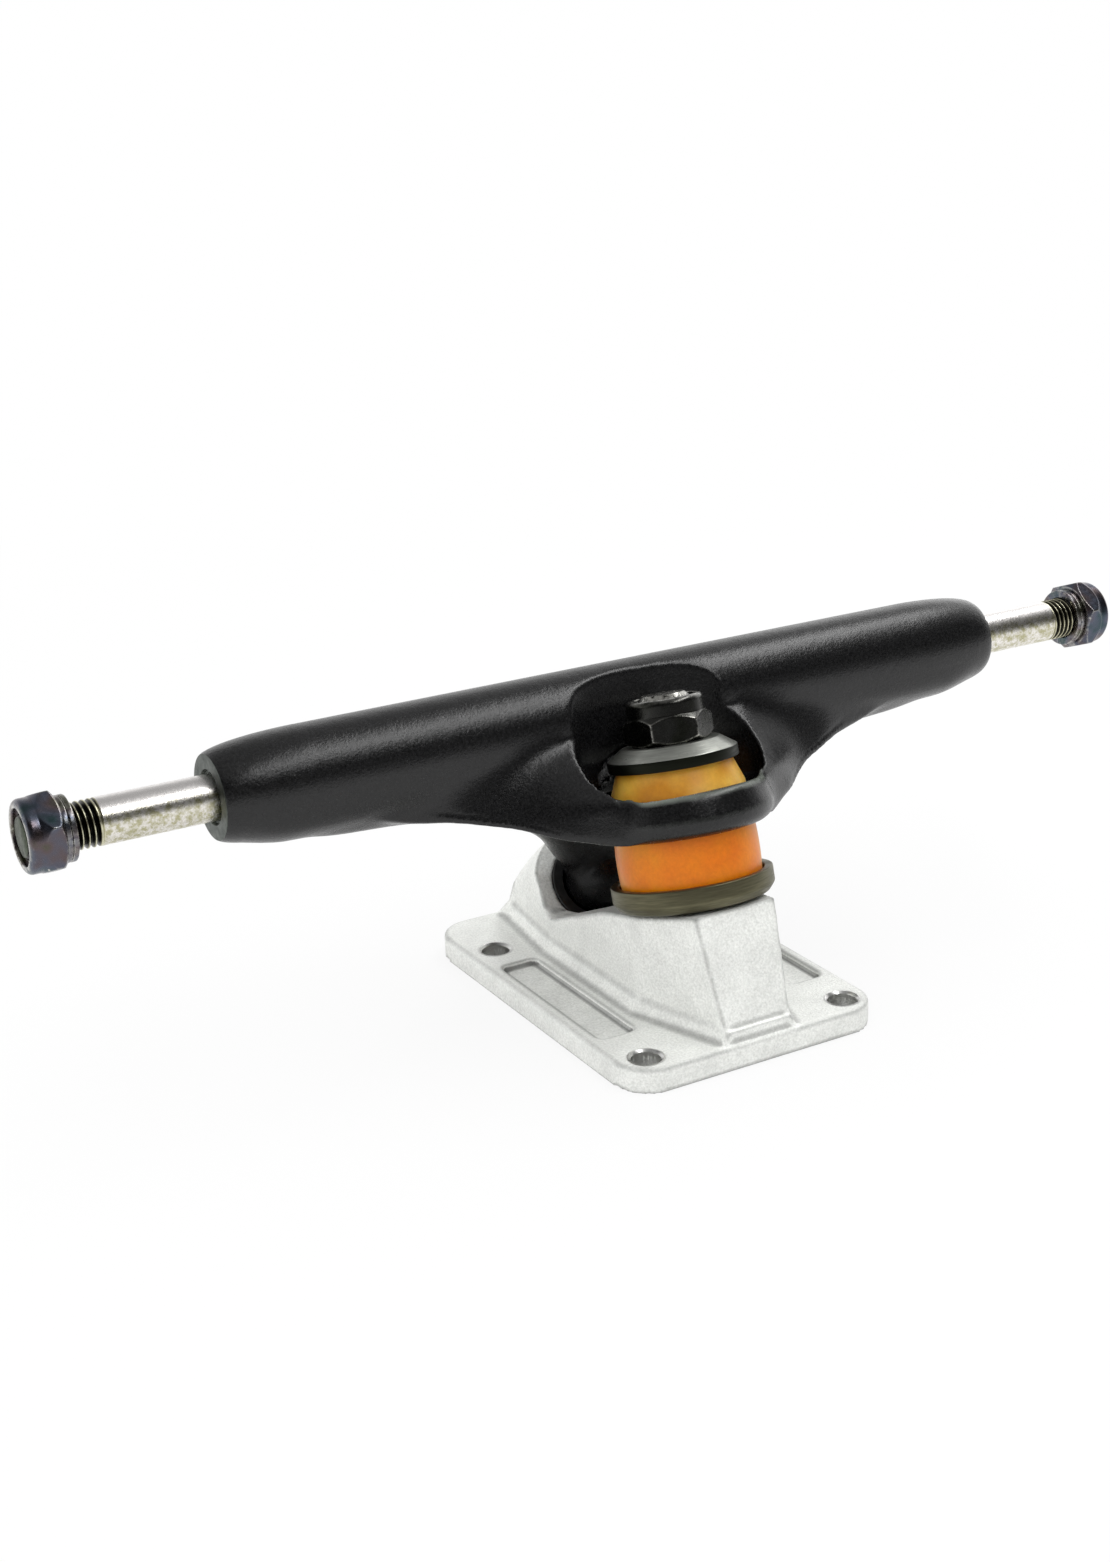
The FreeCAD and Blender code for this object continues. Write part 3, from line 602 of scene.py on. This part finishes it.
class Surface:
    """A closed mesh as arrays, for smoothing by hand."""

    def __init__(self, mesh):
        self.mesh = mesh
        self.points = np.empty(len(mesh.vertices) * 3)
        mesh.vertices.foreach_get("co", self.points)
        self.points = self.points.reshape(-1, 3)
        edges = np.empty(len(mesh.edges) * 2, dtype=np.int64)
        mesh.edges.foreach_get("vertices", edges)
        self.starts, self.ends = edges.reshape(-1, 2).T
        self.count = len(self.points)
        self.degree = np.maximum(np.bincount(edges, minlength=self.count), 1)

    def near(self, values):
        """Mean of the values at each point's neighbours."""
        a, b = self.starts, self.ends
        return (np.bincount(a, values[b], self.count) + np.bincount(b, values[a], self.count)) / self.degree

    def laplacian(self):
        """Step from each point to the middle of its neighbours."""
        return np.stack([self.near(column) for column in self.points.T], axis=1) - self.points

    def normals(self):
        self.mesh.vertices.foreach_set("co", self.points.ravel())
        self.mesh.update()
        found = np.empty(self.count * 3, dtype=np.float32)
        self.mesh.vertex_normals.foreach_get("vector", found)
        return found.reshape(-1, 3).astype(float)

    def soften(self, rounds, weight):
        for _ in range(rounds):
            self.points += self.laplacian() * 0.5 * weight[:, None]

    def fill(self, rounds, weight):
        """Fills hollow corners with smooth fillets and leaves outer edges where they are."""
        for _ in range(rounds):
            normal = self.normals()
            step = self.laplacian()
            outward = (step * normal).sum(axis=1, keepdims=True)
            along = step - outward * normal
            self.points += weight[:, None] * (along * 0.4 + normal * np.maximum(outward, 0) * 0.9)

    def write(self):
        """Writes the points back, with how far each place is hollow (+) or an outer edge (-)."""
        bend = (self.laplacian() * self.normals()).sum(axis=1) / MM
        for _ in range(2):
            bend = (bend + self.near(bend)) / 2
        layer = self.mesh.attributes.new("crease", "FLOAT", "POINT")
        layer.data.foreach_set("value", bend.astype(np.float32))


def remeshed(node, name, voxel):
    """New object with the node's shape as an even fine mesh."""
    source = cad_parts[node].copy()
    source.data = source.data.copy()
    bpy.context.scene.collection.objects.link(source)
    modifier = source.modifiers.new("even", "REMESH")
    modifier.mode = "VOXEL"
    modifier.voxel_size = voxel * MM
    modifier.use_smooth_shade = True
    graph = bpy.context.evaluated_depsgraph_get()
    mesh = bpy.data.meshes.new_from_object(source.evaluated_get(graph))
    bpy.data.objects.remove(source)
    mesh.name = name
    mesh.materials.clear()
    piece = bpy.data.objects.new(name, mesh)
    bpy.context.scene.collection.objects.link(piece)
    return piece


def in_frame(points, matrix):
    """The points' X, Y and Z in a frame's own coordinates, in millimetres."""
    inverse = matrix.inverted()
    return ((points @ np.array(inverse.to_3x3()).T + np.array(inverse.translation)) / MM).T


def ease(value, low, high):
    """0 below low, 1 above high, and a smooth step between."""
    t = np.clip((value - low) / (high - low), 0, 1)
    return t * t * (3 - 2 * t)


def between(values, low, high):
    return (values > low) & (values < high)


# Hanger: the casting, with the fillets that a casting has, and its turned ends

def beam_profile_radius(along):
    """Radius of the beam at a distance along the axle, from the same curve as its taper."""
    start = HALF_HANGER - BEAM_TAPER
    taper = BEAM_TAPER - FACE_CHAMFER
    drop = (BEAM_RADIUS - BEAM_END_RADIUS) * 0.4
    t = np.linspace(0, 1, 41)
    radius = (
        BEAM_RADIUS * (1 - t) ** 3 + 3 * BEAM_RADIUS * t * (1 - t) ** 2
        + 3 * (BEAM_RADIUS - drop) * t ** 2 * (1 - t) + BEAM_END_RADIUS * t ** 3
    )
    place = start + taper * (3 * 0.5 * t * (1 - t) ** 2 + 3 * 0.85 * t ** 2 * (1 - t) + t ** 3)
    return np.interp(along, place, radius)


def hanger_casting(material):
    """The casting with wide fillets, except in its pocket, round its bore and on its pivot nose."""
    piece = remeshed("hanger", "hanger_casting", detail(HANGER_VOXEL))
    surface = Surface(piece.data)
    x, y, z = in_frame(surface.points, KINGPIN)
    around = np.hypot(x, y)
    off_nose = ease(in_frame(surface.points, MOUTH)[2], *NOSE_FADE)
    pocket_across = (np.abs(x) < POCKET_HALF_WIDTH) & (around < POCKET_RADIUS)
    pocket = pocket_across & (y > POCKET_FRONT) & (z > POCKET_FLOOR)
    bore = (around < BORE_ZONE) & (z < BORE_ZONE_TOP)
    surface.fill(detail(60), np.where(pocket | bore, 0.0, 1.0) * off_nose)
    surface.soften(4, np.where(bore, 0.4, 1.0) * off_nose)
    lip = between(around, *LIP_RADII) & between(z, *LIP_HEIGHTS)
    surface.soften(detail(16), np.where(lip, 1.0, 0.0))

    # Under the beam: the roots of the wings run out softly, and the beam is a little fuller
    out = np.abs(surface.points[:, 0]) / MM
    below = 1 - ease(surface.points[:, 2] / MM, *UNDER_BEAM)
    roots = ease(out, *ROOTS_START) * (1 - ease(out, *ROOTS_END)) * below
    belly = ease(out, *BELLY_START) * (1 - ease(out, *BELLY_END)) * below
    surface.soften(detail(24), roots)
    normal = surface.normals()
    surface.points += normal * (belly * np.clip(-normal[:, 2] * 1.6, 0, 1) * BELLY_SWELL * MM)[:, None]

    reach = (HALF_HANGER - CASTING_INSET) * MM
    surface.points[:, 0] = np.clip(surface.points[:, 0], -reach, reach)
    surface.write()
    piece.data.materials.append(material)
    piece.data.shade_smooth()
    return piece


def beam_end(side, matrix, coat, face):
    """Turned end of the beam, which rises out of the casting, with its faced-off end and counterbore."""
    along = np.linspace(BEAM_END_START, HALF_HANGER - FACE_CHAMFER, 24)
    sink = BEAM_END_SINK * (1 - ease(along, along[0], along[0] + BEAM_END_RISE))
    outline = [(float(beam_profile_radius(a) - s), float(a), 0) for a, s in zip(along, sink)]
    outline += [
        (BEAM_END_RADIUS - FACE_CHAMFER * 0.55, HALF_HANGER, 0.12),
        (COUNTERBORE_RADIUS - 0.35, HALF_HANGER, 0.1),
        (COUNTERBORE_RADIUS - 0.6, HALF_HANGER - COUNTERBORE_DEPTH, 0.1),
        (AXLE_RADIUS + BORE_CLEARANCE, HALF_HANGER - COUNTERBORE_DEPTH, 0),
        (AXLE_RADIUS + BORE_CLEARANCE, BEAM_END_START, 0),
    ]
    profile = rounded(outline, 4)
    face_start = next(i for i, (_, h) in enumerate(profile) if h > HALF_HANGER - 0.05) - 1
    piece = lathe(
        "beam_end_" + side, profile, matrix, [coat, face], segments=160,
        bands=lambda i: 1 if i >= face_start else 0,
    )
    dress(piece, "hanger", "black_coated_aluminium")


# Baseplate: the casting with soft edges and fillets at the boss's foot, and its machined holes

def baseplate_casting(material):
    """The casting with fillets, except on its underside, holes, bores, recessed panels and ridge."""
    piece = remeshed("baseplate", "baseplate_casting", detail(BASEPLATE_VOXEL))
    surface = Surface(piece.data)
    x, y, z = surface.points.T / MM
    pin = in_frame(surface.points, KINGPIN)
    mouth = in_frame(surface.points, MOUTH)
    under = z < UNDERSIDE
    bore = np.hypot(pin[0], pin[1]) < SEAT_ZONE
    socket = (np.hypot(mouth[0], mouth[1]) < SOCKET_ZONE) & (mouth[2] < SOCKET_MOUTH)
    panel_across = np.abs(np.abs(x) - PANEL_X) < PANEL_HALF_WIDTH
    panel = panel_across & (np.abs(y - PANEL_Y) < PANEL_HALF_LENGTH) & (z < PANEL_TOP)
    holes = np.hypot(np.abs(x) - HOLE_X, np.abs(y) - HOLE_Y) < HOLE_ZONE
    ridge = (np.abs(x) < RIDGE_HALF_WIDTH) & (y < RIDGE_BACK) & (z > RIDGE_FOOT)
    surface.fill(detail(6), np.where(under | bore | socket | panel | holes | ridge, 0.0, 1.0))
    surface.soften(2, np.where(holes | socket | panel, 0.3, 1.0) * np.where(under, 0.0, 1.0))
    surface.write()
    piece.data.materials.append(material)
    piece.data.shade_smooth()
    return piece


def hole_rims(material):
    """Machined walls and chamfers of the four deck bolt holes."""
    outline = [
        (2.62, 0.02, 0), (2.62, 4.17, 0.1), (3.08, 4.63, 0.05), (3.3, 4.6, 0), (2.9, 4.3, 0), (2.8, 0.02, 0),
    ]
    for i, (x, y) in enumerate(((-1, -1), (1, -1), (-1, 1), (1, 1))):
        matrix = Matrix.Translation((x * HOLE_X * MM, y * HOLE_Y * MM, 0))
        piece = lathe("bolt_hole_rim_%d" % (i + 1), rounded(outline, 3), matrix, [material], segments=64)
        dress(piece, "base", "bare_cast_aluminium")


# Bushings, washers, cup and axle

def bushing(name, outline, material):
    """A bushing turned round the kingpin in place of the node of that name, with its place baked into its
    mesh.
    """
    piece = lathe(name + "_urethane", rounded(outline, 4), KINGPIN, [material], segments=160)
    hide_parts(name)
    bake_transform(piece)


def lower_bushing(material):
    """Barrel with a slight belly."""
    top, bottom, radius = WEB_BOTTOM, LOWER_BUSHING_START, LOWER_BUSHING_RADIUS
    side = []
    for t in np.linspace(0, 1, 13):
        belly = LOWER_BUSHING_BELLY * (1 - (2 * t - 1) ** 2)
        side.append((radius + belly, bottom + 0.3 + (top - bottom - 0.6) * t, 0))
    outline = [(BUSHING_BORE, bottom, 0), (radius - 0.1, bottom, 0.4)] + side
    outline += [(radius - 0.1, top, 0.4), (BUSHING_BORE, top, 0)]
    bushing("lower_bushing", outline, material)


def upper_bushing(material):
    """Cone on a short cylinder."""
    top, bottom = UPPER_BUSHING_END, WEB_TOP
    side = [
        (UPPER_BUSHING_RADIUS, bottom, 0.7),
        (UPPER_BUSHING_RADIUS, bottom + 1.8, 1.2),
        (UPPER_BUSHING_WAIST, top - 2.7, 0.8),
        (UPPER_BUSHING_TOP, top, 0.3),
    ]
    outline = [(BUSHING_BORE, bottom, 0)] + subdivided(side, 4) + [(BUSHING_BORE, top, 0)]
    bushing("upper_bushing", outline, material)


def lower_cup_washer(material):
    """Pressed cup that holds the lower bushing's foot."""
    wall = LOWER_WASHER_RADIUS - LOWER_WASHER_WALL
    outline = [
        (BUSHING_BORE, SEAT + 0.75, 0),
        (BUSHING_BORE, SEAT, 0.15),
        (10.6, SEAT, 1.2),
        (13.4, SEAT + 0.7, 1.2),
        (LOWER_WASHER_RADIUS, SEAT + 2.1, 1.0),
        (LOWER_WASHER_RADIUS, SEAT + 5.0, 0.35),
        (wall, SEAT + 5.0, 0.35),
        (wall, SEAT + 2.85, 0.8),
        (12.45, SEAT + 1.5, 0.4),
        (BUSHING_BORE, SEAT + 1.5, 0.15),
        (BUSHING_BORE, SEAT + 0.75, 0),
    ]
    piece = lathe("lower_cup_washer_pressing", rounded(outline)[:-1], KINGPIN, [material], segments=160)
    dress(piece, "base", "dark_plated_steel", "lower_cup_washer")


def upper_cup_washer(bevel, skirt):
    """Bevelled washer whose skirt holds the upper bushing's top."""
    end, top = UPPER_BUSHING_END, UPPER_WASHER_TOP
    outline = [
        (BUSHING_BORE, end + 0.7, 0),
        (BUSHING_BORE, end, 0.1),
        (10.4, end, 0.2),
        (10.65, end - 2.4, 0.15),
        (UPPER_WASHER_RADIUS, end - 2.4, 0.3),
        (UPPER_WASHER_RADIUS, top - 2.0, 0.5),
        (8.7, top, 0.5),
        (BUSHING_BORE, top, 0.15),
        (BUSHING_BORE, end + 0.7, 0),
    ]
    profile = rounded(outline)[:-1]
    # The skirt takes a far darker copy of the bevel's steel: painted shade
    piece = lathe(
        "upper_cup_washer_pressing", profile, KINGPIN, [bevel, skirt], segments=160,
        bands=lambda i: 1 if profile[i][1] < top - 2.05 else 0,
    )
    dress(piece, "base", "dark_plated_steel", "upper_cup_washer")


def pivot_cup(material):
    """Lining of the pivot socket, with a lip that shows."""
    inner = 4.97
    outline = [
        (6.5, 0.6, 0.2), (8.38, 0.6, 0.3), (8.38, 0.0, 0), (7.4, -2.4, 0), (6.2, -5.0, 0.3),
        (4.4, -8.9, 1.0), (0.02, -10.6, 0), (0.02, -9.46, 0), (inner * 0.8, -7.5, 1.5), (inner, -4.5, 0.5),
    ]
    piece = lathe("pivot_cup_moulding", rounded(outline, 4), MOUTH, [material])
    dress(piece, "base", "black_urethane", "pivot_cup")


def axle(plain, thread, tip):
    """The two ends of the axle that stick out of the hanger."""
    for side, matrix in (("left", AXLE_LEFT), ("right", AXLE_RIGHT)):
        piece = threaded_rod(
            "axle_" + side, matrix, [plain, thread, tip],
            HALF_HANGER - 12, HALF_AXLE - AXLE_THREAD, HALF_AXLE, AXLE_RADIUS - 0.005, AXLE_CHAMFER,
        )
        dress(piece, "hanger", "ground_steel", "axle")


def speed_washer(name, side, place, matrix, material):
    """Thin washer inside the axle nut: the outer one has place 0 and the inner one place 1."""
    end = AXLE_NUT_START - SPEED_WASHER_GAP - place * (SPEED_WASHER_THICKNESS + SPEED_WASHER_GAP)
    start = end - SPEED_WASHER_THICKNESS
    bore = AXLE_RADIUS + BORE_CLEARANCE
    outline = [
        (bore, (start + end) / 2, 0), (bore, start, 0.12),
        (SPEED_WASHER_RADIUS, start, 0.22), (SPEED_WASHER_RADIUS, end, 0.22),
        (bore, end, 0.12), (bore, (start + end) / 2, 0),
    ]
    piece = lathe(name + "_disc", rounded(outline, 4)[:-1], matrix, [material])
    dress(piece, side + "_nut_carrier", "blackened_steel", name)


# Build and dress the truck

coat = black_coat()
bare = cast_aluminium()
face = brushed_face("brushed_face", (0.060, 0.070, 0.062), (0.115, 0.128, 0.115))
tip = brushed_face("axle_tip", (0.035, 0.045, 0.030), (0.10, 0.12, 0.08))
machined = machined_metal("machined_rim", (0.80, 0.80, 0.78), 0.30)
steel = mottled_steel("axle_steel", (0.95, 0.92, 0.90), (0.36, 0.34, 0.16), AXLE_Z + 3.0, AXLE_Z + 1.6)
dark_root_thread = thread_steel("axle_thread", AXLE_RADIUS - THREAD_DEPTH, AXLE_RADIUS - 0.02)
blued = blackened_steel(
    "blued_steel", 180.0, 460.0,
    ((0.045, 0.075, 0.082), (0.095, 0.105, 0.140), (0.115, 0.090, 0.095), (0.085, 0.090, 0.055)),
)
dark_nut = blackened_steel(
    "dark_nut", 120.0, 260.0, ((0.018, 0.019, 0.015), (0.030, 0.031, 0.025), (0.045, 0.045, 0.042))
)
orange = urethane("orange_urethane", (0.60, 0.135, 0.001), (0.65, 0.185, 0.001), (0.68, 0.28, 0.004))
amber = urethane("amber_urethane", (0.24, 0.080, 0.001), (0.42, 0.170, 0.003), (0.70, 0.44, 0.07))
cup_steel = plated_washer("cup_steel", (0.15, 0.140, 0.085), 0.40, KINGPIN)
bevel_steel = plated_washer("bevel_steel", (0.40, 0.41, 0.375), 0.32, KINGPIN)
# Painted shade: a far darker copy of the bevel steel for the washer's skirt
shaded_skirt_steel = plated_washer("shaded_skirt_steel", (0.016, 0.018, 0.012), 0.42, KINGPIN)
rubber = moulded_black("cup_rubber", 0.35)
nylon = moulded_black("nylon", 0.45)

casting = hanger_casting(coat)
dress(casting, "hanger", "black_coated_aluminium", "hanger")
beam_end("left", AXLE_LEFT, coat, face)
beam_end("right", AXLE_RIGHT, coat, face)

plate = baseplate_casting(bare)
dress(plate, "base", "bare_cast_aluminium", "baseplate")
hole_rims(machined)

lower_bushing(orange)
upper_bushing(amber)
lower_cup_washer(cup_steel)
upper_cup_washer(bevel_steel, shaded_skirt_steel)
pivot_cup(rubber)
axle(steel, dark_root_thread, tip)

nut = nut_surface("kingpin_nut_forging", KINGPIN, [dark_nut], KINGPIN_NUT_TURN, **KINGPIN_NUT)
dress(nut, "kingpin_nut", "blackened_steel", "kingpin_nut")
for side, matrix, turn in (("left", AXLE_LEFT, LEFT_NUT_TURN), ("right", AXLE_RIGHT, RIGHT_NUT_TURN)):
    nut = nut_surface("axle_nut_forging_" + side, matrix, [blued], turn, **AXLE_NUT)
    dress(nut, side + "_nut", "blackened_steel", "axle_nut_" + side)
    speed_washer("speed_washer_outer_" + side, side, 0, matrix, blued)
    speed_washer("speed_washer_inner_" + side, side, 1, matrix, blued)

# The solids that show as they are
for node, material in (
    ("kingpin", dark_nut),
    ("kingpin_nut_insert", nylon),
    ("axle_nut_insert_left", nylon),
    ("axle_nut_insert_right", nylon),
):
    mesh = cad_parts[node].data
    for slot in range(len(mesh.materials)):
        mesh.materials[slot] = material


# Camera at the photograph's viewing angle

CAMERA_PLACE = (-0.1910, -0.3055, 0.1713)
CAMERA_RIGHT = (0.8654, -0.5000, -0.0334)
CAMERA_UP = (0.2071, 0.2962, 0.9324)
CAMERA_BACK = (-0.4563, -0.8138, 0.3598)
IMAGE_HEIGHT = 1562
FOCAL_PIXELS = 2147
SHIFT_X_PIXELS = -10
SHIFT_Y_PIXELS = 54

camera_data = bpy.data.cameras.new("camera")
camera_data.sensor_fit = "VERTICAL"
camera_data.sensor_height = 24.0
camera_data.lens = camera_data.sensor_height * FOCAL_PIXELS / IMAGE_HEIGHT
camera_data.shift_x = SHIFT_X_PIXELS / IMAGE_HEIGHT
camera_data.shift_y = SHIFT_Y_PIXELS / IMAGE_HEIGHT
camera_data.clip_start = 0.01
camera = bpy.data.objects.new("camera", camera_data)
bpy.context.scene.collection.objects.link(camera)
facing = Matrix((CAMERA_RIGHT, CAMERA_UP, CAMERA_BACK)).transposed().to_4x4()
camera.matrix_world = Matrix.Translation(CAMERA_PLACE) @ facing
bpy.context.scene.camera = camera


# Floor, studio and light

FLOOR_HALF_SIZE = 8.0
FLOOR_COLOUR = (0.62, 0.62, 0.62, 1)
WHITE = (1, 1, 1, 1)
FLOOR_FADE = (0.10, 0.45)
FLOOR_NEAR_SHARE = 0.84
EVEN_LEVEL = 1.28
EVEN_LEAN = (-0.60, 0.15, 0.10)


def white_floor():
    """Matt ground that keeps the shadow and fades to plain white away from the truck."""
    material, tree, shader = new_material("floor_white", Roughness=0.9, Base_Color=FLOOR_COLOUR)
    place = add(tree, "ShaderNodeTexCoord").outputs["Object"]
    reach = arithmetic(tree, "LENGTH", place, kind="ShaderNodeVectorMath")
    cover = remap(tree, reach, *FLOOR_FADE, FLOOR_NEAR_SHARE, 1.0)
    seen = add(tree, "ShaderNodeLightPath").outputs["Is Camera Ray"]
    glow = add(tree, "ShaderNodeEmission", Color=WHITE)
    blend = add(tree, "ShaderNodeMixShader")
    feed(tree, blend.inputs["Fac"], arithmetic(tree, "MULTIPLY", seen, cover))
    feed(tree, blend.inputs[1], shader.outputs["BSDF"])
    feed(tree, blend.inputs[2], glow.outputs["Emission"])
    feed(tree, tree.nodes["Material Output"].inputs["Surface"], blend.outputs["Shader"])
    corners = [(x * FLOOR_HALF_SIZE, y * FLOOR_HALF_SIZE, 0) for x, y in ((-1, -1), (1, -1), (1, 1), (-1, 1))]
    floor = make_object("floor", corners, [(0, 1, 2, 3)], [material])


def studio_world():
    """Plain white to the camera, an even level to matt surfaces, and a tent to be mirrored.

    The tent is dim in front and bright behind, most of all to the right.
    """
    world = bpy.data.worlds.new("studio")
    bpy.context.scene.world = world
    world.use_nodes = True
    tree = world.node_tree
    background = tree.nodes["Background"]
    background.inputs["Color"].default_value = WHITE
    direction = add(tree, "ShaderNodeTexCoord").outputs["Generated"]
    towards = axes(tree, direction)
    front = ramp(
        tree, towards["Z"],
        (0.0, 0.30), (0.12, 0.26), (0.30, 0.06), (0.72, 0.06), (0.86, 0.32), (1.0, 0.42),
    )
    back = ramp(tree, towards["Z"], (0.0, 1.0), (0.26, 1.0), (0.56, 0.52), (0.8, 0.36), (1.0, 0.34))
    right = remap(tree, towards["X"], 0.50, 0.75, 1.0, 1.9)
    behind = remap(tree, towards["Y"], -0.25, 0.35, course="SMOOTHSTEP")
    tent = mix(tree, behind, front, multiply(tree, back, right), "FLOAT")
    leaning = arithmetic(tree, "DOT_PRODUCT", direction, EVEN_LEAN, kind="ShaderNodeVectorMath")
    even = arithmetic(tree, "ADD", leaning, EVEN_LEVEL)
    path = add(tree, "ShaderNodeLightPath")
    soft = mix(tree, path.outputs["Is Diffuse Ray"], tent, even, "FLOAT")
    feed(tree, background.inputs["Strength"], mix(tree, path.outputs["Is Camera Ray"], soft, 1.0, "FLOAT"))


def soft_light(name, place, target, width, height, power):
    """Rectangular lamp that the camera doesn't see."""
    data = bpy.data.lights.new(name, "AREA")
    data.shape = "RECTANGLE"
    data.size = width
    data.size_y = height
    data.energy = power
    light = bpy.data.objects.new(name, data)
    bpy.context.scene.collection.objects.link(light)
    light.location = place
    light.rotation_euler = (Vector(target) - Vector(place)).to_track_quat("-Z", "Y").to_euler()
    light.visible_camera = False


white_floor()
studio_world()
soft_light("overhead", (0.36, -0.20, 0.80), (0, 0.01, 0.05), width=1.3, height=0.15, power=4.6)

bpy.context.scene.view_settings.view_transform = "Standard"
